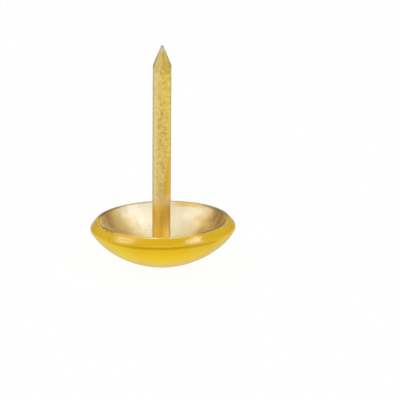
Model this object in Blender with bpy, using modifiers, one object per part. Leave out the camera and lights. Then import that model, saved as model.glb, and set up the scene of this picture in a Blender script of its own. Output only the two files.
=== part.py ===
"""Upholstery nail: a painted, domed steel cap with a wire shank welded inside it.

The nail stands on its dome. Z runs along the shank to the point and the origin is
the middle of the small flat on the crown. Lengths are in metres.
"""
import math

import bmesh
import bpy

MM = 0.001

# Head
HEAD_DIAMETER = 11.0 * MM  # across the painted edge, the widest line
DOME_HEIGHT = 2.95 * MM  # rounded crown to the widest line
EDGE_RADIUS = 0.22 * MM  # painted round along the widest line
BEVEL_HEIGHT = 0.58 * MM  # widest line to the top of the rim
BEVEL_INSET = 0.50 * MM  # how far the bevel leans in over its height
CROWN_FLAT_DIAMETER = 2.00 * MM  # small flat the nail stands on
FLOOR_THICKNESS = 0.40 * MM  # steel at the crown, where the wall is thinnest
COAT_THICKNESS = 0.08 * MM
RIM_LAND_WIDTH = 0.16 * MM  # flat on top of the rim, square to the shank

# Shank
NAIL_LENGTH = 17.0 * MM  # crown to tip
SHANK_DIAMETER = 1.38 * MM
FOOT_FLARE = 0.28 * MM  # how far the foot stands out past the wire
FOOT_THICKNESS = 0.32 * MM
FOOT_SHOULDER = 0.30 * MM  # height of the cone from foot to wire
POINT_LENGTH = 1.60 * MM  # tip to where the ridges meet the wire
TIP_WIDTH = 0.08 * MM  # blunt end, ridge to ridge

# Weld
WELD_WIDTH = 0.48 * MM  # how far the bead spreads past the foot
WELD_HEIGHT = 0.36 * MM
WELD_EDGE = 0.06 * MM  # thickness where the bead runs out

# Fits
JOINT_GAP = 0.02 * MM  # between pieces that touch

# Facets
TURN_STEPS = 48
DOME_STEP = math.radians(6.0)
EDGE_STEP = math.radians(20.0)
BEAD_STEPS = 5
SMOOTH_ANGLE = math.radians(28.0)
MERGE_DISTANCE = 1e-4 * MM

HEAD_RADIUS = HEAD_DIAMETER / 2
SHANK_RADIUS = SHANK_DIAMETER / 2
FOOT_RADIUS = SHANK_RADIUS + FOOT_FLARE

# The dome is a sphere that touches the round of the widest line from outside
EDGE_CENTRE_R = HEAD_RADIUS - EDGE_RADIUS
DOME_RADIUS = (EDGE_CENTRE_R**2 + DOME_HEIGHT**2 - EDGE_RADIUS**2) / (2 * (DOME_HEIGHT - EDGE_RADIUS))
DOME_CENTRE_Z = math.sqrt(DOME_RADIUS**2 - (CROWN_FLAT_DIAMETER / 2) ** 2)
EDGE_Z = DOME_HEIGHT - (DOME_RADIUS - DOME_CENTRE_Z)
RIM_Z = EDGE_Z + BEVEL_HEIGHT
RIM_RADIUS = HEAD_RADIUS - BEVEL_INSET
STEEL_DEPTH = COAT_THICKNESS + JOINT_GAP  # steel below the painted surface


def bevel_angle():
    """Angle, from straight down, that the bevel faces."""
    reach_r = RIM_RADIUS - EDGE_CENTRE_R
    reach_z = RIM_Z - EDGE_Z
    reach = math.hypot(reach_r, reach_z)
    towards_rim = math.atan2(reach_r, -reach_z) % (2 * math.pi)
    return towards_rim - math.acos(EDGE_RADIUS / reach)


BEVEL_ANGLE = bevel_angle()
BEVEL_OUT_R = math.sin(BEVEL_ANGLE)
BEVEL_OUT_Z = -math.cos(BEVEL_ANGLE)

# The bowl is a sphere through the inner edge of the land and the floor at the crown
OPENING_RADIUS = RIM_RADIUS - STEEL_DEPTH / BEVEL_OUT_R - RIM_LAND_WIDTH
BOWL_FLOOR_Z = STEEL_DEPTH + FLOOR_THICKNESS
BOWL_DEPTH = RIM_Z - BOWL_FLOOR_Z
BOWL_RADIUS = (OPENING_RADIUS**2 + BOWL_DEPTH**2) / (2 * BOWL_DEPTH)
BOWL_CENTRE_Z = BOWL_FLOOR_Z + BOWL_RADIUS


def arc(centre, radius, start, end, step):
    """Points (r, z) round a centre, by angle from straight down."""
    count = max(1, math.ceil(abs(end - start) / step - 1e-6))
    points = []
    for index in range(count + 1):
        angle = start + (end - start) * index / count
        points.append((centre[0] + radius * math.sin(angle), centre[1] - radius * math.cos(angle)))
    return points


def crown(depth, end):
    """The dome at this depth below the paint, from the axis out to an angle."""
    radius = DOME_RADIUS - depth
    flat = math.sqrt(radius**2 - (DOME_CENTRE_Z - depth) ** 2)
    start = math.asin(flat / radius)
    return [(0.0, depth)] + arc((0.0, DOME_CENTRE_Z), radius, start, end, DOME_STEP)


def bevel_top(depth):
    """Where the bevel at this depth reaches the height of the rim."""
    return (RIM_RADIUS - depth / BEVEL_OUT_R, RIM_Z)


def corner(depth):
    """Centre and radius of the turn from dome to bevel at this depth."""
    inset = max(depth, EDGE_RADIUS)
    top_r, top_z = bevel_top(inset)
    from_r, from_z = top_r, top_z - DOME_CENTRE_Z
    down_r, down_z = BEVEL_OUT_Z, -BEVEL_OUT_R
    along = from_r * down_r + from_z * down_z
    travel = -along + math.sqrt(along**2 - from_r**2 - from_z**2 + (DOME_RADIUS - inset) ** 2)
    return (top_r + down_r * travel, top_z + down_z * travel), inset - depth


def head_surface(depth):
    """The head's outer outline at this depth, from the axis to the top of the rim."""
    centre, radius = corner(depth)
    meeting = math.atan2(centre[0], DOME_CENTRE_Z - centre[1])
    points = crown(depth, meeting)
    if radius > MERGE_DISTANCE:
        points += arc(centre, radius, meeting, BEVEL_ANGLE, EDGE_STEP)[1:]
    return points + [bevel_top(depth)]


def bowl(lift, start_radius, end_radius):
    """The bowl, raised by a gap, between two distances from the axis."""
    radius = BOWL_RADIUS - lift
    start = math.asin(start_radius / radius)
    end = math.asin(end_radius / radius)
    return arc((0.0, BOWL_CENTRE_Z), radius, start, end, DOME_STEP)


def coat_profile():
    return head_surface(COAT_THICKNESS) + head_surface(0.0)[::-1]


def cap_profile():
    """Steel between the bowl and the paint, with a flat land on top of the rim."""
    rim_angle = math.atan2(OPENING_RADIUS, BOWL_CENTRE_Z - RIM_Z)
    inside = arc((0.0, BOWL_CENTRE_Z), BOWL_RADIUS, 0.0, rim_angle, DOME_STEP)
    return inside + head_surface(STEEL_DEPTH)[::-1]


def shank_profile():
    seat = bowl(JOINT_GAP, 0.0, FOOT_RADIUS)
    foot_top = seat[-1][1] + FOOT_THICKNESS
    over_tip = NAIL_LENGTH + SHANK_RADIUS
    side = [
        (0.0, over_tip),
        (SHANK_RADIUS, over_tip),
        (SHANK_RADIUS, foot_top + FOOT_SHOULDER),
        (FOOT_RADIUS, foot_top),
    ]
    return side + seat[::-1]


def weld_profile():
    """Ring on the bowl's floor round the foot, domed from its inner top to its edge."""
    inner = FOOT_RADIUS + JOINT_GAP
    floor = bowl(JOINT_GAP, inner, inner + WELD_WIDTH)
    low = floor[-1][1] + WELD_EDGE
    high = floor[0][1] + WELD_HEIGHT
    bead = []
    for index in range(BEAD_STEPS + 1):
        angle = math.pi / 2 * (1 - index / BEAD_STEPS)
        bead.append((inner + WELD_WIDTH * math.cos(angle), low + (high - low) * math.sin(angle)))
    return bead + floor[::-1]


def add_object(name, mesh, collection, parent):
    piece = bpy.data.objects.new(name, mesh)
    collection.objects.link(piece)
    piece.parent = parent
    return piece


def turned(name, profile, closed, collection, parent):
    """An object turned about Z from a profile of (r, z) points."""
    mesh = bpy.data.meshes.new(name)
    edges = [(index, index + 1) for index in range(len(profile) - 1)]
    if closed:
        edges.append((len(profile) - 1, 0))
    mesh.from_pydata([(r, 0.0, z) for r, z in profile], edges, [])
    piece = add_object(name, mesh, collection, parent)
    screw = piece.modifiers.new("Turn", "SCREW")
    screw.axis = "Z"
    screw.angle = math.tau
    screw.steps = TURN_STEPS
    screw.render_steps = TURN_STEPS
    screw.use_merge_vertices = True
    screw.merge_threshold = MERGE_DISTANCE
    return piece


def point_cutter(collection, parent):
    """Four-sided pyramid that keeps the shank and cuts its point, a ridge towards -Y."""
    below = NAIL_LENGTH + SHANK_RADIUS
    slope = (SHANK_RADIUS - TIP_WIDTH / 2) / POINT_LENGTH
    shape = bmesh.new()
    bmesh.ops.create_cone(
        shape,
        cap_ends=True,
        segments=4,
        radius1=TIP_WIDTH / 2 + slope * below,
        radius2=TIP_WIDTH / 2,
        depth=below,
    )
    bmesh.ops.translate(shape, verts=shape.verts, vec=(0.0, 0.0, NAIL_LENGTH - below / 2))
    mesh = bpy.data.meshes.new("point_cutter")
    shape.to_mesh(mesh)
    shape.free()
    cutter = add_object("point_cutter", mesh, collection, parent)
    cutter.hide_render = True
    cutter.display_type = "WIRE"
    return cutter


def finish(piece, material):
    """Apply the modifiers, shade the round faces smooth and give the material."""
    graph = bpy.context.evaluated_depsgraph_get()
    mesh = bpy.data.meshes.new_from_object(piece.evaluated_get(graph))
    piece.modifiers.clear()
    piece.data = mesh
    mesh.name = piece.name
    mesh.shade_smooth()
    mesh.set_sharp_from_angle(angle=SMOOTH_ANGLE)
    mesh.materials.clear()
    mesh.materials.append(material)


def principled(name, colour, roughness, metallic):
    material = bpy.data.materials.new(name)
    material.use_nodes = True
    shader = material.node_tree.nodes["Principled BSDF"]
    shader.inputs["Base Color"].default_value = (*colour, 1.0)
    shader.inputs["Roughness"].default_value = roughness
    shader.inputs["Metallic"].default_value = metallic
    material.diffuse_color = (*colour, 1.0)
    return material


def build():
    for old in list(bpy.data.objects):
        bpy.data.objects.remove(old, do_unlink=True)

    parts = bpy.data.collections.new("upholstery_nail")
    cutters = bpy.data.collections.new("cutters")
    bpy.context.scene.collection.children.link(parts)
    bpy.context.scene.collection.children.link(cutters)

    axis = bpy.data.objects.new("nail_axis", None)
    parts.objects.link(axis)

    yellow = principled("yellow_enamel", (0.80, 0.51, 0.015), 0.18, 0.0)
    plated_cap = principled("cap_plating", (0.80, 0.66, 0.33), 0.34, 1.0)
    plated_wire = principled("wire_plating", (0.72, 0.55, 0.22), 0.40, 1.0)
    weld_metal = principled("weld_metal", (0.50, 0.34, 0.12), 0.50, 1.0)

    shell = turned("cap_shell", cap_profile(), False, parts, axis)
    coat = turned("enamel_coat", coat_profile(), False, parts, axis)
    shank = turned("shank", shank_profile(), False, parts, axis)
    weld = turned("weld_bead", weld_profile(), True, parts, axis)

    point = shank.modifiers.new("Point", "BOOLEAN")
    point.operation = "INTERSECT"
    point.solver = "EXACT"
    point.object = point_cutter(cutters, axis)

    finish(shell, plated_cap)
    finish(coat, yellow)
    finish(shank, plated_wire)
    finish(weld, weld_metal)


build()
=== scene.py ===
import math

import bmesh
import bpy
from mathutils import Matrix, Vector


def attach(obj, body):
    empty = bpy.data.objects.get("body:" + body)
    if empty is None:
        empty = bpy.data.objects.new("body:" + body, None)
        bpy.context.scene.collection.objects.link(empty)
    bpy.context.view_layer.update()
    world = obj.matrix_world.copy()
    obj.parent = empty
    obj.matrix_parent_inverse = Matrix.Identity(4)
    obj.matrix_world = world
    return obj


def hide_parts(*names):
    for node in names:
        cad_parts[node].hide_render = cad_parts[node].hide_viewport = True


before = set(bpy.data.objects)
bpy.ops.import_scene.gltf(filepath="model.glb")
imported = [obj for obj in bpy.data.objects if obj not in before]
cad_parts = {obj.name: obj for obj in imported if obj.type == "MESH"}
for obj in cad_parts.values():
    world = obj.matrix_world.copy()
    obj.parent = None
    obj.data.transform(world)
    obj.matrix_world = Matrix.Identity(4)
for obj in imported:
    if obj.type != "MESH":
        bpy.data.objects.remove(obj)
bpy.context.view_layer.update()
print("frame loaded:", ", ".join(sorted(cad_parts)))

mm = 0.001
axisGap = 0.05  # mm added to distances from the axis, so that nothing is divided by zero
seamGap = 2e-7  # m; points nearer than this become one


# node helpers

class Signal:
    # a socket that can be added, multiplied and so on; each step becomes a Math node

    def __init__(self, bench, socket):
        self.bench = bench
        self.socket = socket

    def maths(self, operation, first, second):
        return self.bench.add("ShaderNodeMath", {"operation": operation}, {0: first, 1: second})

    def __add__(self, other):
        return self.maths("ADD", self, other)

    def __radd__(self, other):
        return self.maths("ADD", other, self)

    def __sub__(self, other):
        return self.maths("SUBTRACT", self, other)

    def __rsub__(self, other):
        return self.maths("SUBTRACT", other, self)

    def __mul__(self, other):
        return self.maths("MULTIPLY", self, other)

    def __rmul__(self, other):
        return self.maths("MULTIPLY", other, self)

    def __truediv__(self, other):
        return self.maths("DIVIDE", self, other)

    def __rtruediv__(self, other):
        return self.maths("DIVIDE", other, self)

    def __pow__(self, other):
        return self.maths("POWER", self, other)

    def __rpow__(self, other):
        return self.maths("POWER", other, self)

    def take(self, name):  # another output of the same node
        return Signal(self.bench, self.socket.node.outputs[name])


class Bench:
    # a node tree and the one way nodes get into it

    def __init__(self, tree):
        self.tree = tree

    def add(self, kind, settings=None, inputs=None, out=0):
        node = self.tree.nodes.new(kind)
        for name, value in (settings or {}).items():
            setattr(node, name, value)
        for key, value in (inputs or {}).items():
            if isinstance(value, Signal):
                self.tree.links.new(value.socket, node.inputs[key])
            else:
                node.inputs[key].default_value = value
        return Signal(self, node.outputs[out]) if len(node.outputs) else node

    def fade(self, value, start, end, low=0.0, high=1.0):  # smooth step from low to high
        return self.add(
            "ShaderNodeMapRange",
            {"interpolation_type": "SMOOTHSTEP"},
            {"Value": value, "From Min": start, "From Max": end, "To Min": low, "To Max": high},
        )

    def noise(self, place, scale, detail=2.0, rough=0.5, twist=0.0):
        return self.add(
            "ShaderNodeTexNoise",
            {"noise_dimensions": "3D"},
            {"Vector": place, "Scale": scale, "Detail": detail, "Roughness": rough, "Distortion": twist},
        )

    def blend(self, factor, first, second):  # colours
        return self.add("ShaderNodeMix", {"data_type": "RGBA"}, {0: factor, 6: first, 7: second}, out=2)

    def vector(self, operation, first, second=None, scale=None):
        inputs = {0: first}
        if second is not None:
            inputs[1] = second
        if scale is not None:
            inputs["Scale"] = scale
        return self.add("ShaderNodeVectorMath", {"operation": operation}, inputs)

    def combine(self, x, y, z):
        return self.add("ShaderNodeCombineXYZ", None, {0: x, 1: y, 2: z})

    def split(self, place):  # X; take gives Y and Z
        return self.add("ShaderNodeSeparateXYZ", None, {0: place})

    def function(self, operation, value, second=0.0, third=0.0):  # a Math node with no operator
        return self.add("ShaderNodeMath", {"operation": operation}, {0: value, 1: second, 2: third})

    def size(self, value):
        return self.function("ABSOLUTE", value)

    def reach(self, across, side):  # length of a plan vector
        return self.function("SQRT", across * across + side * side)

    def inMm(self, place):
        return self.vector("SCALE", place, scale=1 / mm)

    def bump(self, height, strength, depth):  # depth in mm
        return self.add(
            "ShaderNodeBump", None, {"Strength": strength, "Distance": depth * mm, "Height": height}
        )


def rgb(red, green, blue):
    return (red, green, blue, 1.0)


def shaderBench(name):
    material = bpy.data.materials.new(name)
    material.use_nodes = True
    material.node_tree.nodes.clear()
    return material, Bench(material.node_tree)


def endShader(bench, sockets):
    shader = bench.add("ShaderNodeBsdfPrincipled", None, sockets)
    bench.add("ShaderNodeOutputMaterial", None, {"Surface": shader})


def objectSpot(bench):  # place on the piece, in mm
    return bench.inMm(bench.add("ShaderNodeTexCoord", out="Object"))


def named(bench, name, out):  # an attribute of the mesh
    return bench.add("ShaderNodeAttribute", {"attribute_name": name}, None, out=out)


def shapeBench(name, sizes, counts):
    # a Geometry Nodes tree with one geometry in, one out, and named inputs between
    tree = bpy.data.node_groups.new(name, "GeometryNodeTree")
    sockets = [("Geometry", "Geometry")] + [(label, "Float") for label in sizes]
    sockets += [(label, "Int") for label in counts] + [("Material", "Material")]
    for label, kind in sockets:
        tree.interface.new_socket(label, in_out="INPUT", socket_type="NodeSocket" + kind)
    tree.interface.new_socket("Geometry", in_out="OUTPUT", socket_type="NodeSocketGeometry")
    bench = Bench(tree)
    return bench, bench.add("NodeGroupInput")


def store(bench, geometry, name, value, kind="FLOAT"):
    return bench.add(
        "GeometryNodeStoreNamedAttribute",
        {"data_type": kind, "domain": "POINT"},
        {"Geometry": geometry, "Name": name, "Value": value},
    )


def pushOut(bench, geometry, distance):  # along the normal
    return bench.add("GeometryNodeSetPosition", None, {
        "Geometry": geometry,
        "Offset": bench.vector("SCALE", bench.add("GeometryNodeInputNormal"), scale=distance),
    })


def endTree(bench, geometry, material):
    whole = bench.add("GeometryNodeRealizeInstances", None, {"Geometry": geometry})
    dressed = bench.add("GeometryNodeSetMaterial", None, {"Geometry": whole, "Material": material})
    bench.add("NodeGroupOutput", None, {"Geometry": dressed})
    return bench.tree


def useTree(piece, tree, values):
    modifier = piece.modifiers.new(tree.name, "NODES")
    modifier.node_group = tree
    for item in tree.interface.items_tree:
        if item.item_type == "SOCKET" and item.in_out == "INPUT" and item.name in values:
            modifier[item.identifier] = values[item.name]


def settle(piece):
    # swap the live modifiers for their result
    graph = bpy.context.evaluated_depsgraph_get()
    mesh = bpy.data.meshes.new_from_object(
        piece.evaluated_get(graph), preserve_all_data_layers=True, depsgraph=graph
    )
    piece.modifiers.clear()
    piece.data = mesh
    mesh.name = piece.name
    print(piece.name, "made:", len(mesh.vertices), "points,", len(mesh.polygons), "faces")


def newObject(name, data):
    thing = bpy.data.objects.new(name, data)
    bpy.context.scene.collection.objects.link(thing)
    return thing


# outlines, as (radius, height) in mm

def arcPoints(centre, radius, start, end, count):  # angles from straight down
    points = []
    for index in range(count + 1):
        angle = start + (end - start) * index / count
        points.append((centre[0] + radius * math.sin(angle), centre[1] - radius * math.cos(angle)))
    return points


def linePoints(start, end, count):
    points = []
    for index in range(count + 1):
        share = index / count
        points.append((start[0] + (end[0] - start[0]) * share, start[1] + (end[1] - start[1]) * share))
    return points


def smoothShare(value, start, end):
    share = min(1.0, max(0.0, (value - start) / (end - start)))
    return share * share * (3 - 2 * share)


def outlinePiece(name, outline, ragged=None):
    mesh = bpy.data.meshes.new(name)
    edges = [(index, index + 1) for index in range(len(outline) - 1)]
    mesh.from_pydata([(r * mm, 0.0, z * mm) for r, z in outline], edges, [])
    weight = mesh.attributes.new("ragged", "FLOAT", "POINT")
    weight.data.foreach_set("value", ragged or [0.0] * len(outline))
    return newObject(name, mesh)


# a turned piece: the outline is carried round the axis on a grid

def sampleOutline(bench, outline, value, column, kind):
    return bench.add(
        "GeometryNodeSampleIndex",
        {"data_type": kind, "domain": "POINT"},
        {"Geometry": outline, "Value": value, "Index": column},
    )


def leanOver(bench, position, given, angle):  # +X goes up
    return bench.add(
        "ShaderNodeVectorRotate",
        {"rotation_type": "Y_AXIS"},
        {"Vector": position, "Center": bench.combine(0.0, 0.0, given.take("Pivot")), "Angle": 0.0 - angle},
    )


def turningTree():
    bench, given = shapeBench("turning", [
        "Wave", "Wave Scale", "Uneven", "Uneven Scale",
        "Lean", "Pivot", "Steady Below", "Leans Above", "Seed",
    ], ["Steps"])
    outline = given.take("Geometry")
    steps = given.take("Steps")
    seed = given.take("Seed")
    count = bench.add("GeometryNodeAttributeDomainSize", {"component": "MESH"}, {"Geometry": outline})
    ring = steps + 1.0
    grid = bench.add("GeometryNodeMeshGrid", None, {"Vertices X": count, "Vertices Y": ring})
    index = bench.add("GeometryNodeInputIndex")
    column = bench.function("FLOOR", (index + 0.5) / ring)
    turn = (index - column * ring) / steps * math.tau
    position = bench.add("GeometryNodeInputPosition")
    place = sampleOutline(bench, outline, position, column, "FLOAT_VECTOR")
    weight = bench.add("GeometryNodeInputNamedAttribute", {"data_type": "FLOAT"}, {"Name": "ragged"})
    ragged = sampleOutline(bench, outline, weight, column, "FLOAT")
    out = bench.split(place)
    across = bench.function("COSINE", turn)
    deep = bench.function("SINE", turn)
    wave = bench.noise(bench.combine(across, deep, seed), given.take("Wave Scale"), 4.0, 0.62)
    radius = out + (wave - 0.5) * ragged * given.take("Wave")
    moved = bench.add("GeometryNodeSetPosition", None, {
        "Geometry": grid,
        "Position": bench.combine(radius * across, radius * deep, out.take("Z")),
    })
    marked = store(bench, moved, "ragged", ragged)
    closed = bench.add("GeometryNodeMergeByDistance", None, {"Geometry": marked, "Distance": seamGap})
    spot = bench.vector("ADD", bench.inMm(position), bench.combine(0.0, 0.0, seed))
    lumps = bench.noise(spot, given.take("Uneven Scale"), 2.0, 0.5)
    worked = pushOut(bench, closed, (lumps - 0.5) * given.take("Uneven"))
    kept = store(bench, worked, "upright", position, "FLOAT_VECTOR")
    height = bench.split(position).take("Z")
    share = bench.fade(height, given.take("Steady Below"), given.take("Leans Above"))
    leaned = bench.add("GeometryNodeSetPosition", None, {
        "Geometry": kept,
        "Position": leanOver(bench, position, given, given.take("Lean") * share),
    })
    smooth = bench.add("GeometryNodeSetShadeSmooth", None, {"Geometry": leaned})
    return endTree(bench, smooth, given.take("Material"))


turning = turningTree()


def turnPiece(piece, sizes, material, more):
    useTree(piece, turning, {
        "Steps": sizes["steps"],
        "Uneven": sizes["uneven"] * mm,
        "Uneven Scale": sizes["unevenScale"],
        "Seed": sizes["seed"],
        "Material": material,
        **more,
    })


# camera, at the photograph's viewing angle

view = {
    "target": (0.0, 0.0, 3.524 * mm),
    "distance": 0.2,
    "elevation": 16.6,
    "heading": 0.8693,  # the nail stands left of the middle
    "pitch": 16.2027,
    "roll": 0.485,
    "lens": 237.6,
    "sensor": 36.0,
    "clipStart": 0.005,
}


def makeCamera():
    rise = math.radians(view["elevation"])
    place = Vector(view["target"]) + view["distance"] * Vector((0.0, -math.cos(rise), math.sin(rise)))
    heading = math.radians(view["heading"])
    pitch = math.radians(view["pitch"])
    forward = Vector((
        math.sin(heading) * math.cos(pitch),
        math.cos(heading) * math.cos(pitch),
        -math.sin(pitch),
    ))
    roll = math.radians(view["roll"])
    level = Vector((math.cos(heading), -math.sin(heading), 0.0))
    right = level * math.cos(roll) + level.cross(forward) * math.sin(roll)
    up = right.cross(forward)
    data = bpy.data.cameras.new("camera")
    data.lens = view["lens"]
    data.sensor_width = view["sensor"]
    data.clip_start = view["clipStart"]
    camera = newObject("camera", data)
    camera.matrix_world = Matrix((right, up, -forward)).transposed().to_4x4()
    camera.location = place
    bpy.context.scene.camera = camera


makeCamera()
print("camera set")


# painted coat; sizes, heights and radii in mm, pairs run from none to full

coat = {
    "headRadius": 5.5,
    "rimRadius": 5.05,
    "rimHeight": 3.4548,
    "bevelHeight": 0.58,
    "edgeRound": 0.22,
    "rimRound": 0.30,
    "domeRadius": 6.6909,
    "domeCentre": 6.6158,
    "flatRadius": 1.0,
    "lean": 1.27,  # degrees; the head sits a little askew on the shank
    "pivot": 8.2,
    "steadyBelow": 0.4,
    "leansAbove": 2.2,
    "film": 0.08,
    "fuller": 0.10,  # paint hangs thicker below the widest line
    "fullerBetween": (2.0, 2.4),
    "landFilm": 0.035,  # paint that reaches over the land
    "filmEdge": 4.77,  # where it ends, on average
    "filmLip": ((0.0, 0.0), (0.004, 0.014), (0.012, 0.025), (0.026, 0.032)),  # its rounded end
    "lipWidth": 0.045,
    "tuck": 0.036,  # the film's inside corner, moved out to the land
    "raggedness": 0.10,
    "raggedScale": 7.0,
    "uneven": 0.012,
    "unevenScale": 0.7,
    "seed": 3.1,
    "steps": 360,
    "colour": rgb(0.985, 0.652, 0.003),
    # painted shade for the crease, the bevel and the dome's top
    "shadedDeepColour": rgb(0.62, 0.345, 0.0010),
    # painted light on the dome's ends
    "paintedLight": rgb(1.0, 0.80, 0.010),
    # colours of the darker far edge: at its ends, and in its middle below
    "darkFarEdge": rgb(0.115, 0.078, 0.036),
    "farEdgeMiddle": rgb(0.62, 0.515, 0.16),
    "dirty": rgb(0.36, 0.235, 0.06),
    "bare": rgb(0.60, 0.40, 0.06),
    "grime": rgb(0.25, 0.145, 0.03),
    "roughness": 0.11,
    "ior": 1.38,
    "coatRoughness": 0.10,
    "bumpStrength": 0.8,
    "bumpDepth": 0.036,
    "runsAround": 11.0,  # streaks in the paint, round the axis and up it
    "runsUp": 7.0,
    "creaseHeights": (2.62, 2.76),
    "underBevel": (2.94, 2.86),
    "belowHeights": (1.3, 2.70),
    "bevelHeights": (2.86, 2.98),
    "litEndHeights": (2.90, 2.70),
    "darkFarEdgeHeights": (3.34, 3.42),
    "darkFarEdgeRadii": (5.12, 5.00),
    "dirtyHeights": (3.26, 3.40),
    "dirtyRadii": (5.04, 4.88),
    "bareHeights": (3.28, 3.38),
    "bareRadius": 4.76,
    "leftChip": (-0.875, -0.485),  # direction from the axis, front left
    "rightChip": (0.81, -0.588),  # front right
    "lipHeights": (3.30, 3.40),
    "lipRadii": (5.13, 5.03),
}


def bevelFacing():
    reachR = coat["rimRadius"] - (coat["headRadius"] - coat["edgeRound"])
    reachZ = coat["bevelHeight"]
    towards = math.atan2(reachR, -reachZ) % math.tau
    return towards - math.acos(coat["edgeRound"] / math.hypot(reachR, reachZ))


def headOutline(depth, rimRound):
    # from the top of the rim down the outside to the axis
    facing = bevelFacing()
    edgeR = coat["headRadius"] - coat["edgeRound"]
    edgeZ = coat["rimHeight"] - coat["bevelHeight"]
    meeting = math.atan2(edgeR, coat["domeCentre"] - edgeZ)
    flat = math.asin(coat["flatRadius"] / coat["domeRadius"])
    rimR = coat["rimRadius"] - depth / math.sin(facing)
    top = coat["rimHeight"]
    if rimRound:
        back = rimRound * math.tan((math.pi - facing) / 2)
        points = arcPoints((rimR - back, top - rimRound), rimRound, math.pi, facing, 10)
    else:
        points = [(rimR, top)]
    edge = arcPoints((edgeR, edgeZ), coat["edgeRound"] - depth, facing, meeting, 14)
    dome = arcPoints((0.0, coat["domeCentre"]), coat["domeRadius"] - depth, meeting, flat, 46)
    floor = linePoints((dome[-1][0], depth), (0.0, depth), 5)
    return points + linePoints(points[-1], edge[0], 8)[1:-1] + edge + dome[1:-1] + floor


def leanValues():
    return {
        "Lean": math.radians(coat["lean"]),
        "Pivot": coat["pivot"] * mm,
        "Steady Below": coat["steadyBelow"] * mm,
        "Leans Above": coat["leansAbove"] * mm,
    }


def headPlaces(bench):
    # a place on the head before it leaned, in mm, and where that lies round the axis
    spot = bench.inMm(named(bench, "upright", "Vector"))
    axes = bench.split(spot)
    side = axes.take("Y")
    radius = bench.reach(axes, side) + axisGap
    across = axes / radius  # -1 left, 1 right
    back = side / radius  # -1 in front, 1 behind
    return spot, axes, side, axes.take("Z"), radius, across, back


def enamelMaterial():
    material, bench = shaderBench("yellowEnamel")
    fade = bench.fade
    blend = bench.blend
    spot, axes, side, height, radius, across, back = headPlaces(bench)
    sideways = bench.size(across)
    film = named(bench, "ragged", "Fac")
    cloud = bench.noise(spot, 0.55, 3.0, 0.55)
    fine = bench.noise(spot, 5.0, 3.0, 0.6)
    around = coat["runsAround"]
    place = bench.combine(across * around, back * around, height * coat["runsUp"])
    runs = bench.noise(place, 1.0, 3.0, 0.6)

    # painted shade, deeper in colour: along the crease, over the bevel and on the dome towards its top;
    # random tone and worn paint vary it too
    under = fade(height, *coat["underBevel"])
    # painted shade: a dark line along the crease under the bevel
    creaseShade = fade(height, *coat["creaseHeights"]) * under * fade(sideways, 0.85, 0.60)
    # painted shade: the dome darker towards its top
    below = fade(height, *coat["belowHeights"]) * under
    worn = fade(film + (fine - 0.5) * 0.7, 0.45, 1.1)
    # painted shade: the bevel darker
    bevelShade = fade(height, *coat["bevelHeights"])
    shadeAndTone = creaseShade * 0.46 + bevelShade * 0.57 + below * 0.36 + (cloud - 0.5) * 0.25 + worn * 0.3
    paint = blend(fade(shadeAndTone, 0.0, 1.0), coat["colour"], coat["shadedDeepColour"])
    # painted light: the dome lighter towards its ends, more widely on the left
    litEnds = bench.function("MAXIMUM", fade(sideways, 0.65, 0.90), fade(across, -0.35, -0.70))
    litEnds = litEnds * fade(height, *coat["litEndHeights"])
    paint = blend(litEnds * 0.55, paint, coat["paintedLight"])

    # the far edge is darker, darkest left and right
    shoulders = fade(sideways, 0.55, 0.85)
    chips = (fine - 0.5) * 0.30
    raised = height + fade(sideways, 0.80, 0.95) * 0.14 + chips
    darkFarEdge = fade(raised, *coat["darkFarEdgeHeights"]) * fade(back + chips, 0.08, 0.24)
    darkFarEdge = darkFarEdge * fade(radius + chips, *coat["darkFarEdgeRadii"]) * 0.88
    colour = blend(darkFarEdge, paint, blend(shoulders, coat["farEdgeMiddle"], coat["darkFarEdge"]))
    dirty = fade(radius + (fine - 0.5) * 0.2, *coat["dirtyRadii"])
    dirty = dirty * fade(height, *coat["dirtyHeights"])
    dirty = dirty * fade(sideways, 0.50, 0.85) * fade(across, -0.2, 0.2, 0.6, 1.0)
    colour = blend(dirty * 0.62, colour, coat["dirty"])

    # chipped to the metal at the front left and front right
    leftX, leftY = coat["leftChip"]
    rightX, rightY = coat["rightChip"]
    leftward = (axes * leftX + side * leftY) / radius
    rightward = (axes * rightX + side * rightY) / radius
    limit = coat["bareRadius"] + fade(leftward, 0.89, 0.985, 0.0, 0.27)
    limit = limit + fade(rightward, 0.86, 0.96, 0.0, 0.30)
    bare = fade(radius - limit + (fine - 0.5) * 0.14, 0.06, 0.0)
    bare = bare * fade(height, *coat["bareHeights"])
    patches = fade(leftward, 0.86, 0.93) + fade(rightward, 0.85, 0.93)
    grime = fade(radius - limit + (fine - 0.5) * 0.3, 0.0, -0.10)
    chipped = blend(grime, coat["bare"], coat["grime"])
    colour = blend(bare * patches * 0.9, colour, chipped)

    # gloss, duller on the lip except where it is unworn
    peel = bench.noise(spot, 2.2, 2.0, 0.5)
    dimples = bench.noise(spot, 6.6, 1.0, 0.5)
    nibs = bench.add("ShaderNodeTexVoronoi", {"feature": "F1"}, {"Vector": spot, "Scale": 1.3})
    nib = fade(nibs, 0.10, 0.03)
    lip = fade(height, *coat["lipHeights"])
    glint = fade(sideways, 0.50, 0.30) * fade(back, -0.5, -0.8)
    dull = lip * fade(radius, *coat["lipRadii"]) * (1.0 - glint)
    matt = dull * fade(back, 0.2, -0.1) * fade(sideways, 0.97, 0.88)
    left = fade(across, 0.1, -0.4)
    gloss = coat["roughness"] + (cloud - 0.5) * 0.06 + worn * 0.22 + darkFarEdge * 0.25
    gloss = gloss + matt * 0.40 + left * 0.06 + bare * patches * 0.25
    relief = peel * 0.25 + runs * (0.45 + left * 0.45)
    relief = relief + dimples * (0.78 - left * 0.58) + nib * 0.1
    endShader(bench, {
        "Base Color": colour,
        "Roughness": gloss,
        "IOR": coat["ior"],
        "Coat Weight": lip * (1.0 - darkFarEdge) * (1.0 - dull),
        "Coat Roughness": coat["coatRoughness"],
        "Normal": bench.bump(relief, coat["bumpStrength"], coat["bumpDepth"]),
    })
    return material


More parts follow.
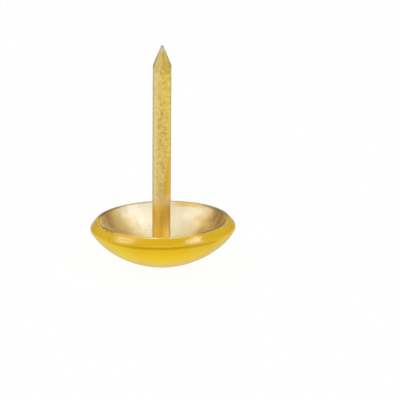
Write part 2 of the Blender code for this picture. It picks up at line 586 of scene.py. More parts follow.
def makeCoat():
    top = coat["rimHeight"]
    land = top - coat["landFilm"]
    edge = coat["filmEdge"]
    fullerFrom, fullerTo = coat["fullerBetween"]
    outer = []
    for r, z in headOutline(0.0, coat["rimRound"]):
        sag = smoothShare(z, top, fullerTo) * smoothShare(z, 0.0, fullerFrom)
        outer.append((r, z - coat["fuller"] * sag))
    lip = [(edge + out, land + up) for out, up in coat["filmLip"]]
    lip += linePoints((edge + coat["lipWidth"], top), outer[0], 3)[:-1]
    inner = headOutline(coat["film"], 0.0)[::-1]
    inner[-1] = (inner[-1][0] + coat["tuck"], land)
    back = linePoints(inner[-1], (edge, land), 3)[1:]
    outline = lip + outer + inner + back
    ragged = [1.0, 1.0, 1.0, 1.0, 0.6, 0.25, 0.1]  # along the lip
    ragged += [0.0] * (len(outer) + len(inner)) + [0.3, 0.6, 1.0]
    piece = outlinePiece("enamelCoat", outline, ragged)
    turnPiece(piece, coat, enamelMaterial(), {
        "Wave": coat["raggedness"] * mm,
        "Wave Scale": coat["raggedScale"],
        **leanValues(),
    })
    settle(piece)
    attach(piece, "root")
    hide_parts("enamel_coat")
    return piece


enamelCoat = makeCoat()


# pressed cap, plated inside; sizes, heights and radii in mm, pairs run from none to full

cap = {
    "openRadius": 4.6967,
    "floor": 0.50,
    "landDrop": 0.040,  # bare land, under the paint that covers it
    "edgeRound": 0.06,
    "steelDepth": 0.10,
    "uneven": 0.02,
    "unevenScale": 0.8,
    "seed": 1.7,
    "steps": 256,
    "colour": rgb(0.88, 0.82, 0.67),
    # painted shade: darker brass deeper in the hollow
    "shadedBrass": rgb(0.87, 0.80, 0.575),  # deeper in the hollow
    "amber": rgb(0.88, 0.61, 0.21),
    # the first step of tarnish, and also painted shade at the right
    "pale": rgb(0.80, 0.675, 0.385),
    "gold": rgb(0.73, 0.56, 0.245),
    "stain": rgb(0.71, 0.51, 0.20),
    "olive": rgb(0.56, 0.42, 0.14),
    "deep": rgb(0.27, 0.17, 0.04),
    "spot": rgb(0.24, 0.14, 0.045),
    # painted shade, low in the hollow
    "dull": rgb(0.60, 0.55, 0.37),
    "rust": rgb(0.52, 0.26, 0.08),
    "rustSpots": ((-4.28, 1.75, 0.65), (4.42, 0.90, 0.85)),  # place and reach
    "bareLand": rgb(0.19, 0.135, 0.07),
    "roughness": 0.62,
    "bumpStrength": 0.5,
    "bumpDepth": 0.006,
    "streaksAround": 36.0,  # fine streaks up the wall
    "patchesAround": 5.0,
    "ringsPerMm": 21.0,  # pressing rings, in radians
    "shadedBrassRadii": (4.1, 2.9),
    "tarnishRadii": (1.4, 2.6),
    "cleanRadii": (4.1, 3.3),
    "amberRadii": (4.54, 4.64),
    "shadeRadii": (4.30, 3.85),
    "deepShadeRadii": (3.75, 3.00),
    "sideRadii": (4.0, 4.45),
    "lowShadeRadii": (3.95, 3.55),
    "landRadii": (4.67, 4.73),
    "landHeights": (3.25, 3.36),
}


def bowlSphere():
    depth = coat["rimHeight"] - cap["floor"]
    radius = (cap["openRadius"] ** 2 + depth ** 2) / (2 * depth)
    return radius, cap["floor"] + radius


def bowlHeight(r, lift):
    radius, centre = bowlSphere()
    return centre - math.sqrt((radius - lift) ** 2 - r * r)


def bowlMaterial():
    material, bench = shaderBench("capPlating")
    fade = bench.fade
    blend = bench.blend
    spot, axes, side, height, radius, across, back = headPlaces(bench)
    sideways = bench.size(across)
    around = cap["streaksAround"]
    streaks = bench.noise(bench.combine(across * around, back * around, radius * 0.7), 1.0, 3.0, 0.6)
    blotch = bench.noise(spot, 0.9, 4.0, 0.62, 0.4)
    marks = bench.noise(spot, 2.3, 3.0, 0.6, 0.3)
    around = cap["patchesAround"]
    patches = bench.noise(bench.combine(across * around, back * around, height * 1.6), 1.0, 3.0, 0.6, 0.4)
    speck = bench.noise(spot, 6.5, 2.0, 0.6)
    drift = (blotch - 0.5) * 1.4

    # tarnished, all but the far wall and the near one low down
    spread = fade(radius, 3.9, 2.9) * 0.04 - fade(radius, 4.1, 4.5) * 0.10
    edge = back + across * 0.035 + fade(across, -0.4, -0.7) * 0.03
    edge = edge - fade(across, 0.72, 0.92) * 0.16 - spread
    edge = edge + (blotch - 0.5) * 0.40 + (streaks - 0.5) * 0.05
    tarnish = fade(edge, 0.98, 0.36) * fade(radius, *cap["tarnishRadii"])
    clean = fade(back + drift * 0.2, 0.42, 0.10) * fade(radius + drift, *cap["cleanRadii"])
    clean = clean * fade(across, -0.5, 0.3, 0.65, 1.0)
    tarnish = tarnish * (1.0 - clean)

    # the clean plating, amber under the far edge at the right, with painted shade: darker brass deeper in
    # the hollow, darker towards the right and duller low down
    amber = fade(across, 0.08, 0.32) * fade(across, 0.85, 0.60) * fade(back, 0.2, 0.5)
    upper = radius + (blotch - 0.5) * 0.15 - fade(across, 0.45, 0.70) * 0.05
    amber = amber * fade(upper, *cap["amberRadii"])
    # painted shade: darker brass deeper in the hollow
    tone = blend(fade(radius, *cap["shadedBrassRadii"]), cap["colour"], cap["shadedBrass"])
    # painted shade: darker towards the right
    tone = blend(fade(across, 0.0, 0.35) * 0.22, tone, cap["pale"])
    tone = blend(amber * 0.9, tone, cap["amber"])
    # painted shade: duller low on the far wall, more at the right
    dull = fade(across + drift * 0.1, 0.20, 0.50)
    dull = dull * fade(radius + drift * 0.15, *cap["shadeRadii"]) * 0.50
    deepShade = fade(radius + drift * 0.1, *cap["deepShadeRadii"]) * 0.18
    dull = bench.function("MAXIMUM", dull, deepShade)
    tone = blend(dull * fade(back, 0.1, 0.4), tone, cap["dull"])

    # the stain, darkest in patches near the brim
    stain = blend(fade(marks, 0.40, 0.60), cap["stain"], cap["olive"])
    left = fade(across, -0.60, -0.85)
    near = fade(back, 0.05, -0.25)
    worn = bench.function("MAXIMUM", fade(back, 0.30, 0.0) * fade(across, 0.6, 0.1), left)
    stain = blend(worn * 0.7, stain, cap["gold"])
    stain = blend(near * fade(across, 0.0, -0.5) * 0.8, stain, cap["pale"])
    sides = fade(radius + (blotch - 0.5) * 0.9, *cap["sideRadii"]) * fade(back, 0.02, 0.20)
    sides = sides * fade(patches - left * 0.08, 0.40, 0.58)
    stain = blend(sides * fade(across, 0.3, 0.7, 0.75, 0.50), stain, cap["deep"])
    tone = blend(fade(tarnish + (streaks - 0.5) * 0.2, 0.0, 0.35), tone, cap["pale"])
    tone = blend(fade(tarnish, 0.25, 0.65), tone, cap["gold"])
    tone = blend(fade(tarnish, 0.55, 1.0) * 0.9, tone, stain)

    # marks, specks and grain, painted shade low down at the sides, then rust
    dark = fade(marks, 0.60, 0.74) * tarnish * 0.35
    dark = dark + fade(speck + tarnish * 0.08, 0.68, 0.80) * 0.24
    grain = fade(speck, 0.35, 0.65) + fade(streaks, 0.35, 0.65)
    dark = dark + grain * (1.0 - tarnish * 0.4) * 0.065
    # painted shade: darker low on the far wall, at the sides
    low = fade(radius, *cap["lowShadeRadii"]) * fade(back, -0.1, 0.3)
    dark = dark + fade(sideways, 0.45, 0.80) * low * 0.13
    tone = blend(bench.function("MINIMUM", dark, 0.8), tone, cap["spot"])
    for x, y, reach in cap["rustSpots"]:
        away = bench.reach(axes - x, side - y) / reach
        tone = blend(fade(away + (marks - 0.5) * 1.2, 1.0, 0.3) * 0.5, tone, cap["rust"])

    # bare land, dark behind and at the front right
    shoulders = fade(sideways, 0.55, 0.85, 0.12, 1.0) * fade(back, 0.10, 0.30)
    front = fade(across + (marks - 0.5) * 0.5, 0.40, 0.65) * fade(back, 0.05, -0.15)
    land = fade(radius + front * 0.06 - left * 0.04, *cap["landRadii"])
    land = land * fade(height, *cap["landHeights"])
    colour = blend(land * (shoulders * 0.6 + front * 0.8), tone, cap["bareLand"])
    rings = bench.function("SINE", radius * cap["ringsPerMm"] + blotch * 3.0)
    relief = streaks * 0.6 + speck * 0.5 + rings * 0.05
    endShader(bench, {
        "Base Color": colour,
        "Metallic": 1.0,
        "Roughness": cap["roughness"] + tarnish * 0.12 + (streaks - 0.5) * 0.12,
        "Normal": bench.bump(relief, cap["bumpStrength"], cap["bumpDepth"]),
    })
    return material


def makeCap():
    radius, centre = bowlSphere()
    land = coat["rimHeight"] - cap["landDrop"]
    brim = math.acos((centre - land) / radius)
    setBack = cap["edgeRound"] * math.tan(brim / 2)
    bowl = arcPoints((0.0, centre), radius, 0.0, brim - setBack / radius, 60)
    lip = arcPoints(
        (radius * math.sin(brim) + setBack, land - cap["edgeRound"]),
        cap["edgeRound"], math.pi + brim, math.pi, 8,
    )
    steel = headOutline(cap["steelDepth"], 0.0)
    steel[0] = (steel[0][0] + cap["landDrop"], land)
    outline = bowl + lip[1:] + linePoints(lip[-1], steel[0], 3)[1:-1] + steel
    piece = outlinePiece("capShell", outline)
    turnPiece(piece, cap, bowlMaterial(), leanValues())
    settle(piece)
    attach(piece, "root")
    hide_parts("cap_shell")
    return piece


capShell = makeCap()


# wire shank with a four-sided point; sizes and heights in mm, pairs run from none to full

wire = {
    "radius": 0.697,
    "length": 16.90,  # the tip is a little blunt
    "tipHalf": 0.085,
    "pointLength": 1.5,
    "ridgeSoft": 0.035,
    "fineAbove": 14.4,  # closer rings from here to the tip
    "fineRings": 84,
    "sideRings": 300,
    "footRadius": 0.97,
    "footHeight": 0.32,
    "footRound": 0.05,
    "shoulder": 0.30,
    "seatGap": 0.02,  # foot and weld stand this far off the bowl
    "pitDepth": 0.020,
    "pitScale": 4.6,
    "pitSeed": 2.6,
    "lumps": 0.024,
    "uneven": 0.014,
    "unevenScale": 1.2,
    "seed": 5.2,
    "steps": 120,
    "colour": rgb(0.86, 0.64, 0.16),
    # painted light on the left of the wire
    "pale": rgb(0.85, 0.68, 0.30),
    "peach": rgb(0.90, 0.62, 0.21),
    # painted shade on the right of the wire
    "gold": rgb(0.80, 0.61, 0.095),  # at the right
    "golden": rgb(0.82, 0.585, 0.085),  # higher up
    "warm": rgb(0.80, 0.455, 0.025),
    # painted shade and reflection of the brass hollow
    "amber": rgb(0.97, 0.71, 0.17),  # low down, inside the hollow
    # painted highlight
    "paintedShine": rgb(1.0, 0.87, 0.42),
    "olive": rgb(0.57, 0.40, 0.07),
    "brown": rgb(0.60, 0.37, 0.11),
    "rosy": rgb(0.98, 0.70, 0.29),
    "light": rgb(0.96, 0.78, 0.32),
    "pit": rgb(0.42, 0.27, 0.07),
    # painted light and shade on the facets, and a painted highlight
    "litLeftFacet": rgb(0.74, 0.56, 0.22),
    "shadedRightFacet": rgb(0.68, 0.45, 0.075),
    "facetHighlight": rgb(0.82, 0.64, 0.035),
    "darkEdge": rgb(0.40, 0.32, 0.17),
    # painted highlight below the tip
    "tip": rgb(0.69, 0.60, 0.37),
    "steel": rgb(0.40, 0.38, 0.33),
    "roughness": 0.33,
    "bumpStrength": 0.55,
    "bumpDepth": 0.008,
    "clearHeights": (4.2, 5.0),
    "upperHeights": (7.0, 9.0),
    "stripeNarrows": (5.8, 9.2),
    "stripeTop": (9.8, 7.4),
    "stripeFoot": (4.7, 5.9),
    "stripeFront": (0.50, 0.15),
    "glowFoot": (4.3, 4.8),
    "glowTop": (5.7, 5.1),
    "paintedShineHeights": (4.2, 3.0),
    "facetHighlightHeights": (15.9, 16.4),
    "ridgePlace": 0.09,  # a darker line right of the axis
    "ridgeFoot": (15.6, 15.9),
    "ridgeTop": (16.55, 16.35),
    "tipHighlightHeights": (16.40, 16.60),
    "steelHeights": (16.76, 16.85),
}


def pointSlope():
    return (wire["radius"] - wire["tipHalf"]) / wire["pointLength"]


def pointTree():
    # squeezes the top of the wire to four facets and dots its side with pits
    bench, given = shapeBench("wirePoint", [
        "Tip Height", "Tip Half", "Slope", "Ridge Softness",
        "Lumps", "Pit Depth", "Pit Scale", "Seed",
    ], [])
    easing = 0.02 * mm  # how gently a facet runs into the round wire
    facetStart = 0.03 * mm  # cut deeper than this, it is all facet
    position = bench.add("GeometryNodeInputPosition")
    axes = bench.split(position)
    side = axes.take("Y")
    height = axes.take("Z")
    radius = bench.reach(axes, side) + 1e-9  # never zero
    soft = given.take("Ridge Softness")
    acrossShare = bench.function("SQRT", axes * axes / (radius * radius) + soft * soft)
    sideShare = bench.function("SQRT", side * side / (radius * radius) + soft * soft)
    ridge = given.take("Tip Half") + (given.take("Tip Height") - height) * given.take("Slope")
    facet = ridge / (acrossShare + sideShare) * (1.0 + soft)
    kept = bench.function("SMOOTH_MIN", radius, facet, easing)
    kept = bench.function("MINIMUM", kept, radius)
    shrink = kept / radius
    faced = store(bench, given.take("Geometry"), "facet", bench.fade(radius - kept, 0.0, facetStart))
    pointed = bench.add("GeometryNodeSetPosition", None, {
        "Geometry": faced,
        "Position": bench.combine(axes * shrink, side * shrink, height),
    })
    stretched = bench.vector("MULTIPLY", bench.inMm(position), (1.0, 1.0, 0.72))
    seeded = bench.vector("ADD", stretched, bench.combine(given.take("Seed"), 0.0, 0.0))
    swirl = bench.noise(seeded, 2.2, 2.0, 0.5)
    shifted = bench.vector("ADD", seeded, bench.vector("SCALE", swirl.take("Color"), scale=0.16))
    cells = bench.add(
        "ShaderNodeTexVoronoi",
        {"feature": "F1"},
        {"Vector": shifted, "Scale": given.take("Pit Scale")},
    )
    chance = bench.add("FunctionNodeSeparateColor", None, {0: cells.take("Color")})
    size = bench.fade(chance, 0.35, 1.0, 0.02, 0.34)
    patches = bench.fade(bench.noise(seeded, 0.5, 2.0, 0.5), 0.36, 0.6, 0.35, 1.0)
    cut = bench.add("GeometryNodeInputNamedAttribute", {"data_type": "FLOAT"}, {"Name": "facet"})
    wireSide = 1.0 - cut
    pit = bench.fade(cells / (size * patches + 0.001), 1.0, 0.45) * wireSide
    lumps = (bench.noise(seeded, 5.2, 2.0, 0.55) - 0.5) * wireSide * given.take("Lumps")
    marked = store(bench, pointed, "pit", pit)
    pitted = pushOut(bench, marked, lumps - pit * given.take("Pit Depth"))
    return endTree(bench, pitted, given.take("Material"))


def wireMaterial():
    material, bench = shaderBench("wirePlating")
    fade = bench.fade
    blend = bench.blend
    spot = objectSpot(bench)
    axes = bench.split(spot)
    height = axes.take("Z")
    pit = named(bench, "pit", "Fac")
    facet = named(bench, "facet", "Fac")
    drawn = bench.noise(bench.vector("MULTIPLY", spot, (9.0, 9.0, 0.35)), 1.0, 3.0, 0.6)
    cloud = bench.noise(bench.vector("MULTIPLY", spot, (1.0, 1.0, 0.55)), 1.1, 4.0, 0.6)
    mottle = bench.noise(bench.vector("MULTIPLY", spot, (1.0, 1.0, 0.75)), 5.0, 3.0, 0.62, 0.5)
    filed = bench.noise(bench.vector("MULTIPLY", spot, (14.0, 14.0, 1.6)), 1.0, 3.0, 0.65)
    grit = bench.noise(spot, 9.0, 3.0, 0.65)
    across = axes / wire["radius"] + (drawn - 0.5) * 0.4  # -1 left, 1 right

    # plating, with painted light paler at the left and painted shade golden at the right, more golden
    # higher up
    clear = fade(height + (cloud - 0.5) * 1.2, *wire["clearHeights"])  # above the hollow
    # painted light: paler at the left
    pale = fade(across, -0.15, -0.70)
    tone = blend(pale, wire["colour"], wire["pale"])
    peach = fade(across, 0.0, 0.2) * fade(across, 0.65, 0.45) * fade(cloud, 0.42, 0.56)
    tone = blend(peach * 0.7, tone, wire["peach"])
    # painted shade: golden at the right
    tone = blend(fade(across, 0.50, 0.75) * 0.75, tone, wire["gold"])
    upper = fade(height + (cloud - 0.5) * 1.5, *wire["upperHeights"])
    tone = blend(upper * (1.0 - pale) * 0.40, tone, wire["golden"])
    tone = blend((1.0 - upper) * (1.0 - pale) * 0.28, tone, wire["light"])

    # a warm stripe down the front right, wider towards the hollow
    wedge = across - fade(height, *wire["stripeNarrows"]) * 0.35
    low = fade(height + (cloud - 0.5) * 2.0, *wire["stripeTop"]) * fade(wedge, 0.05, 0.45)
    low = low * fade(height, *wire["stripeFoot"])
    low = low * fade(axes.take("Y") + (cloud - 0.5) * 0.8, *wire["stripeFront"])
    tone = blend(low * 0.85, tone, wire["warm"])

    # speckle, less of it on facets, stripe and left side
    rough = (1.0 - facet) * (1.0 - pale * 0.55) * (1.0 - low * 0.8) * clear
    patchy = fade(cloud, 0.36, 0.58, 0.35, 1.0)
    stripe = fade(across, -0.05, 0.15) * fade(across, 0.70, 0.50)
    flecks = blend(upper * (1.0 - stripe * 0.8), wire["rosy"], wire["light"])
    darker = blend(upper, wire["brown"], wire["olive"])
    speckled = fade(mottle, 0.50, 0.62) * rough * patchy * (0.60 + upper * 0.30)
    tone = blend(speckled, tone, darker)
    tone = blend(fade(mottle, 0.48, 0.36) * rough * 0.62, tone, flecks)

    # rosy just above the rim; inside the hollow, amber as painted shade and reflection of the brass around
    # it, with painted highlights on its sides
    glow = fade(height, *wire["glowFoot"])
    glow = glow * fade(height + (cloud - 0.5) * 0.8, *wire["glowTop"])
    tone = blend(glow * 0.6, tone, wire["rosy"])
    # painted shade and reflection: amber inside the hollow
    tone = blend((1.0 - clear) * 0.95, tone, wire["amber"])
    # painted highlights on the sides low in the hollow
    edges = fade(across, -0.45, -0.85, 0.0, 0.7) + fade(across, 0.40, 0.80)
    tone = blend(edges * fade(height, *wire["paintedShineHeights"]), tone, wire["paintedShine"])
    pitted = pit * clear * (1.0 - low * 0.7) * 0.6 + fade(grit, 0.60, 0.78) * rough * 0.2
    spotted = blend(pitted, tone, wire["pit"])

    # the cut facets: painted light on the left one, painted shade on the right one with a painted
    # highlight high up, filing marks, and darker along the ridges
    # painted light on the left facet, painted shade on the right one
    cut = blend(fade(axes, -0.12, 0.06), wire["litLeftFacet"], wire["shadedRightFacet"])
    # painted highlight high on the right facet
    paintedLight = fade(axes, 0.08, 0.24) * fade(height + axes, *wire["facetHighlightHeights"])
    cut = blend(paintedLight * 0.8, cut, wire["facetHighlight"])
    cut = blend(fade(filed, 0.50, 0.66) * 0.6, cut, wire["olive"])
    cut = blend(fade(filed, 0.48, 0.34) * 0.5, cut, wire["light"])
    halfWidth = wire["tipHalf"] + (wire["length"] - height) * pointSlope()
    outer = bench.size(axes) / halfWidth  # 1 at the ridges left and right
    # darker towards the ridges left and right
    cut = blend(fade(outer, 0.66, 0.96) * 0.80, cut, wire["darkEdge"])
    # darker along a line right of the axis
    ridge = fade(bench.size(axes - wire["ridgePlace"]), 0.10, 0.02)
    ridge = ridge * fade(height, *wire["ridgeFoot"]) * fade(height, *wire["ridgeTop"])
    cut = blend(ridge * 0.7, cut, wire["brown"])
    colour = blend(facet, spotted, cut)
    # painted highlight below the tip, then bare steel at the very end
    paintedShine = fade(height + (grit - 0.5) * 0.9, *wire["tipHighlightHeights"])
    bare = fade(height + (grit - 0.5) * 0.1, *wire["steelHeights"])
    colour = blend(paintedShine, colour, wire["tip"])
    colour = blend(bare, colour, wire["steel"])
    gloss = wire["roughness"] + pit * 0.25 + (drawn - 0.5) * 0.2 + fade(grit, 0.5, 0.8) * 0.1
    endShader(bench, {
        "Base Color": colour,
        "Metallic": 1.0,
        "Roughness": gloss,
        "Normal": bench.bump(drawn * 0.7 + grit * 0.6, wire["bumpStrength"], wire["bumpDepth"]),
    })
    return material


def makeShank():
    radius = wire["radius"]
    foot = wire["footRadius"]
    gap = wire["seatGap"]
    bend = wire["footRound"]
    fine = wire["fineAbove"]
    seat = bowlHeight(foot, gap)
    footTop = seat + wire["footHeight"]
    shoulderTop = footTop + wire["shoulder"]
    outline = [(0.0, wire["length"])]
    outline += linePoints((radius, wire["length"]), (radius, fine), wire["fineRings"])
    outline += linePoints((radius, fine), (radius, shoulderTop), wire["sideRings"])[1:]
    for index in range(1, 10):  # the shoulder eases out to the foot
        share = index / 10
        ease = smoothShare(share, 0.0, 1.0)
        outline.append((radius + (foot - radius) * ease, shoulderTop - wire["shoulder"] * share))
    outline += arcPoints((foot - bend, footTop - bend), bend, math.pi * 0.85, math.pi / 2, 4)
    outline += linePoints((foot, footTop - bend), (foot, seat), 5)[1:]
    outline += [(r, bowlHeight(r, gap)) for r in (0.8, 0.6, 0.4, 0.2, 0.0)]
    piece = outlinePiece("wireShank", outline)
    material = wireMaterial()
    turnPiece(piece, wire, material, {})
    useTree(piece, pointTree(), {
        "Tip Height": wire["length"] * mm,
        "Tip Half": wire["tipHalf"] * mm,
        "Slope": pointSlope(),
        "Ridge Softness": wire["ridgeSoft"],
        "Lumps": wire["lumps"] * mm,
        "Pit Depth": wire["pitDepth"] * mm,
        "Pit Scale": wire["pitScale"],
        "Seed": wire["pitSeed"],
        "Material": material,
    })
    settle(piece)
    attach(piece, "root")
    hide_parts("shank")


makeShank()


# weld round the foot; sizes in mm

weld = {
    "width": 0.48,
    "height": 0.36,
    "edge": 0.06,
    "topRings": 16,
    "seatRings": 8,
    "wave": 0.12,
    "waveScale": 2.6,
    "uneven": 0.03,
    "unevenScale": 3.2,
    "seed": 7.4,
    "steps": 144,
    "colour": rgb(0.52, 0.36, 0.14),
    "burnt": rgb(0.24, 0.16, 0.08),
    "roughness": 0.36,
    "bumpStrength": 0.6,
    "bumpDepth": 0.01,
}


def weldMaterial():
    material, bench = shaderBench("weldMetal")
    spot = objectSpot(bench)
    blotch = bench.noise(spot, 2.4, 4.0, 0.6, 0.5)
    grain = bench.noise(spot, 14.0, 2.0, 0.6)
    burnt = bench.fade(blotch, 0.42, 0.66)
    endShader(bench, {
        "Base Color": bench.blend(burnt, weld["colour"], weld["burnt"]),
        "Metallic": 1.0,
        "Roughness": weld["roughness"] + burnt * 0.22 + (grain - 0.5) * 0.15,
        "Normal": bench.bump(grain, weld["bumpStrength"], weld["bumpDepth"]),
    })
    return material


def makeWeld():
    gap = wire["seatGap"]
    width = weld["width"]
    inner = wire["footRadius"] + gap
    outer = inner + width
    low = bowlHeight(outer, gap) + weld["edge"]
    high = bowlHeight(inner, gap) + weld["height"]
    outline = []
    for index in range(weld["topRings"] + 1):
        angle = math.pi / 2 * (1 - index / weld["topRings"])
        outline.append((inner + width * math.cos(angle), low + (high - low) * math.sin(angle)))
    for index in range(weld["seatRings"] + 1):
        r = outer - width * index / weld["seatRings"]
        outline.append((r, bowlHeight(r, gap)))
    outline += linePoints(outline[-1], outline[0], 4)[1:]
    ragged = [min(1.0, max(0.0, (r - inner) / width)) for r, z in outline]
    piece = outlinePiece("weldBead", outline, ragged)
    turnPiece(piece, weld, weldMaterial(), {
        "Wave": weld["wave"] * mm,
        "Wave Scale": weld["waveScale"],
    })
    settle(piece)
    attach(piece, "root")
    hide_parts("weld_bead")


makeWeld()


# grime left along the edge of the paint; sizes, heights and radii in mm

specks = {
    "density": 7.0e7,  # grains a square metre, where they are thickest
    "smallest": 0.030,
    "largest": 0.095,
    "width": 0.8,  # shares of a grain's length
    "thickness": 0.28,
    "patches": (-149.0, -36.0),  # degrees round the rim from +X
    "spreads": (16.0, 32.0),
    "innerRadii": (4.56, 4.68),  # none to all
    "outerLeft": 5.02,
    "outerRight": 4.80,
    "outerFade": 0.06,
    "heights": (3.1, 3.25),
    "seed": 11,
    "colour": rgb(0.15, 0.080, 0.018),
    "pale": rgb(0.40, 0.24, 0.065),
    "roughness": 0.7,
    "specular": 0.15,
    "bumpStrength": 0.5,
    "bumpDepth": 0.005,
}


def speckTree():
    bench, given = shapeBench("rimSpecks", [
        "Density", "Smallest", "Largest", "First Patch", "First Spread",
        "Second Patch", "Second Spread", "Lean", "Pivot",
    ], ["Seed"])
    position = bench.add("GeometryNodeInputPosition")
    upright = leanOver(bench, position, given, 0.0 - given.take("Lean"))
    axes = bench.split(upright)
    side = axes.take("Y")
    radius = bench.reach(axes, side)
    around = bench.function("ARCTAN2", side, axes)
    innerNone, innerAll = specks["innerRadii"]
    lowNone, lowAll = specks["heights"]
    outside = bench.fade(axes, -1.0 * mm, 1.0 * mm, specks["outerLeft"] * mm, specks["outerRight"] * mm)
    near = bench.fade(radius, innerNone * mm, innerAll * mm)
    near = near * bench.fade(radius - outside, specks["outerFade"] * mm, 0.0)
    near = near * bench.fade(axes.take("Z"), lowNone * mm, lowAll * mm)
    first = bench.size(around - given.take("First Patch")) / given.take("First Spread")
    second = bench.size(around - given.take("Second Patch")) / given.take("Second Spread")
    patch = bench.fade(bench.function("MINIMUM", first, second), 1.0, 0.3)
    points = bench.add("GeometryNodeDistributePointsOnFaces", {"distribute_method": "RANDOM"}, {
        "Mesh": given.take("Geometry"),
        "Density": near * patch * given.take("Density"),
        "Seed": given.take("Seed"),
    })
    grain = bench.add("GeometryNodeMeshIcoSphere", None, {"Radius": 1.0, "Subdivisions": 1})
    lump = bench.noise(position, 1.1, 2.0, 0.5)
    rough = bench.add("GeometryNodeSetPosition", None, {
        "Geometry": grain,
        "Offset": bench.vector("SCALE", position, scale=(lump - 0.5) * 1.2),
    })
    size = bench.add(
        "FunctionNodeRandomValue",
        {"data_type": "FLOAT"},
        {"Min": 0.0, "Max": 1.0, "Seed": given.take("Seed")},
        out=1,
    )
    reach = given.take("Smallest") + size ** 2.0 * (given.take("Largest") - given.take("Smallest"))
    placed = bench.add("GeometryNodeInstanceOnPoints", None, {
        "Points": points,
        "Instance": rough,
        "Rotation": points.take("Rotation"),
        "Scale": bench.combine(reach, reach * specks["width"], reach * specks["thickness"]),
    })
    return endTree(bench, placed, given.take("Material"))


def speckMaterial():
    material, bench = shaderBench("rimGrime")
    tone = bench.noise(objectSpot(bench), 9.0, 3.0, 0.6)
    endShader(bench, {
        "Base Color": bench.blend(bench.fade(tone, 0.35, 0.7), specks["colour"], specks["pale"]),
        "Roughness": specks["roughness"] + (tone - 0.5) * 0.3,
        "Specular IOR Level": specks["specular"],
        "Normal": bench.bump(tone, specks["bumpStrength"], specks["bumpDepth"]),
    })
    return material


def makeSpecks():
    ground = bmesh.new()  # the land and the paint that covers it
    ground.from_mesh(capShell.data)
    ground.from_mesh(enamelCoat.data)
    mesh = bpy.data.meshes.new("rimSpecks")
    ground.to_mesh(mesh)
    ground.free()
    piece = newObject("rimSpecks", mesh)
    useTree(piece, speckTree(), {
        "Density": specks["density"],
        "Smallest": specks["smallest"] * mm,
        "Largest": specks["largest"] * mm,
        "First Patch": math.radians(specks["patches"][0]),
        "First Spread": math.radians(specks["spreads"][0]),
        "Second Patch": math.radians(specks["patches"][1]),
        "Second Spread": math.radians(specks["spreads"][1]),
        **leanValues(),
        "Seed": specks["seed"],
        "Material": speckMaterial(),
    })
    settle(piece)
    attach(piece, "root")


makeSpecks()


# floor, lamps and surroundings

studio = {
    "floorHalf": 3.0,  # m
    "floorColour": rgb(0.96, 0.96, 0.96),
    "floorGrain": rgb(0.94, 0.94, 0.94),
    "glowSeen": 0.95,  # how far the floor shows plain white to the camera
    "glowBounced": 1.0,
    "mirrorUnder": 0.45,  # the floor in reflections: under the head, round it and further off
    "mirrorNear": 0.15,
    "mirrorBeside": 0.45,
    "mirrorFar": 0.90,
    "mirrorShade": 0.45,  # how much darker it is behind the nail
    "underRadii": (5.5, 3.0),  # mm, from none to full
    "farRadii": (7.0, 15.0),
    "ambient": 0.20,
    "roomBack": 0.20,  # the room, as the metal and the gloss see it
    "roomSides": 0.85,
    "roomTop": 0.50,
    "lampDistance": 0.4,  # m from the nail's foot
}

softboxes = [
    # name, direction, direction of its length, length and width in m, radiance
    ("leftBox", (-0.685, -0.09, 0.725), (0.14, -0.18, 0.11), 0.20, 0.05, 14.0),
    ("rightBox", (0.578, -0.210, 0.785), (0.246, 0.263, -0.103), 0.110, 0.045, 30.0),
    ("sparkBox", (-0.03, 0.53, 0.85), (1.0, 0.0, 0.0), 0.06, 0.18, 7.5),
    ("backBox", (0.0, 0.78, 0.62), (1.0, 0.0, 0.0), 0.26, 0.16, 2.2),
    ("frontBox", (0.0, -0.80, 0.60), (1.0, 0.0, 0.0), 0.40, 0.22, 1.6),
]


def byRay(bench, seen, mirrored, bounced):
    # one value for rays that look at the background, one for reflections, one for light
    path = bench.add("ShaderNodeLightPath")
    straight = bench.function("MINIMUM", path + path.take("Is Transmission Ray"), 1.0)
    glossy = path.take("Is Glossy Ray") * (1.0 - straight)
    return straight * seen + glossy * mirrored + (1.0 - straight - glossy) * bounced


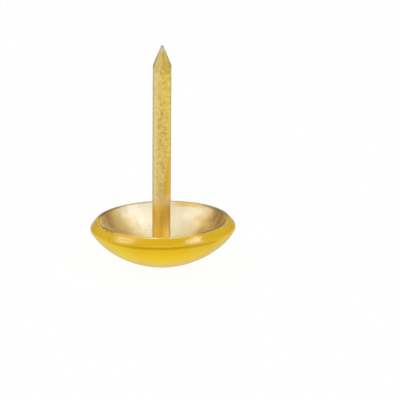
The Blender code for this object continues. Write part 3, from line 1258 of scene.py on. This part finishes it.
def makeFloor():
    material, bench = shaderBench("floorWhite")
    spot = objectSpot(bench)
    axes = bench.split(spot)
    side = axes.take("Y")
    reach = bench.reach(axes, side) + axisGap
    tint = bench.blend(bench.noise(spot, 0.9, 2.0, 0.5), studio["floorGrain"], studio["floorColour"])
    matt = bench.add("ShaderNodeBsdfDiffuse", None, {"Color": tint})
    beside = bench.fade(bench.size(axes) / reach, 0.25, 0.80)
    near = studio["mirrorNear"] + beside * (studio["mirrorBeside"] - studio["mirrorNear"])
    under = bench.fade(reach, *studio["underRadii"]) * (studio["mirrorUnder"] - near)
    behind = bench.fade((side - axes * 0.15) / reach, 0.45, 0.85)
    far = studio["mirrorFar"] * (1.0 - behind * studio["mirrorShade"])
    ahead = bench.fade((0.0 - side) / reach, 0.3, 0.7)
    farNone, farAll = studio["farRadii"]
    away = bench.fade(reach - ahead * 5.0, farNone + ahead * 2.5, farAll - ahead * 2.0)  # later in front
    level = byRay(bench, 1.0, near + under + away * (far - near), 1.0)
    glow = bench.add("ShaderNodeEmission", None, {"Color": rgb(1.0, 1.0, 1.0), "Strength": level})
    share = byRay(bench, studio["glowSeen"], 1.0, studio["glowBounced"])
    mixed = bench.add("ShaderNodeMixShader", None, {0: share, 1: matt, 2: glow})
    bench.add("ShaderNodeOutputMaterial", None, {"Surface": mixed})
    half = studio["floorHalf"]
    mesh = bpy.data.meshes.new("floor")
    corners = [(-half, -half, 0), (half, -half, 0), (half, half, 0), (-half, half, 0)]
    mesh.from_pydata(corners, [], [(0, 1, 2, 3)])
    mesh.materials.append(material)
    floor = newObject("floor", mesh)


def makeLamps():
    for name, direction, along, length, width, radiance in softboxes:
        towards = Vector(direction).normalized()
        right = Vector(along)
        right = (right - towards * right.dot(towards)).normalized()
        up = towards.cross(right)
        data = bpy.data.lights.new(name, "AREA")
        data.shape = "RECTANGLE"
        data.size = length
        data.size_y = width
        data.energy = radiance * math.pi * length * width
        lamp = newObject(name, data)
        lamp.matrix_world = Matrix((right, up, towards)).transposed().to_4x4()
        lamp.location = towards * studio["lampDistance"]
        lamp.visible_camera = False


def makeWorld():
    world = bpy.data.worlds.new("studio")
    bpy.context.scene.world = world
    world.use_nodes = True
    world.node_tree.nodes.clear()
    bench = Bench(world.node_tree)
    axes = bench.split(bench.add("ShaderNodeTexCoord"))
    sides = bench.fade(bench.size(axes), 0.55, 0.95)
    top = bench.fade(axes.take("Z") * 0.9 - axes.take("Y") * 0.43, 0.60, 0.97)  # leans to the front
    room = studio["roomBack"] + sides * (studio["roomSides"] - studio["roomBack"])
    room = room + top * (studio["roomTop"] - studio["roomBack"])
    level = byRay(bench, 1.0, room, studio["ambient"])
    light = bench.add("ShaderNodeBackground", None, {"Color": rgb(1.0, 1.0, 1.0), "Strength": level})
    bench.add("ShaderNodeOutputWorld", None, {"Surface": light})


makeFloor()
makeLamps()
makeWorld()
bpy.context.scene.view_settings.view_transform = "Standard"
print("studio lit")
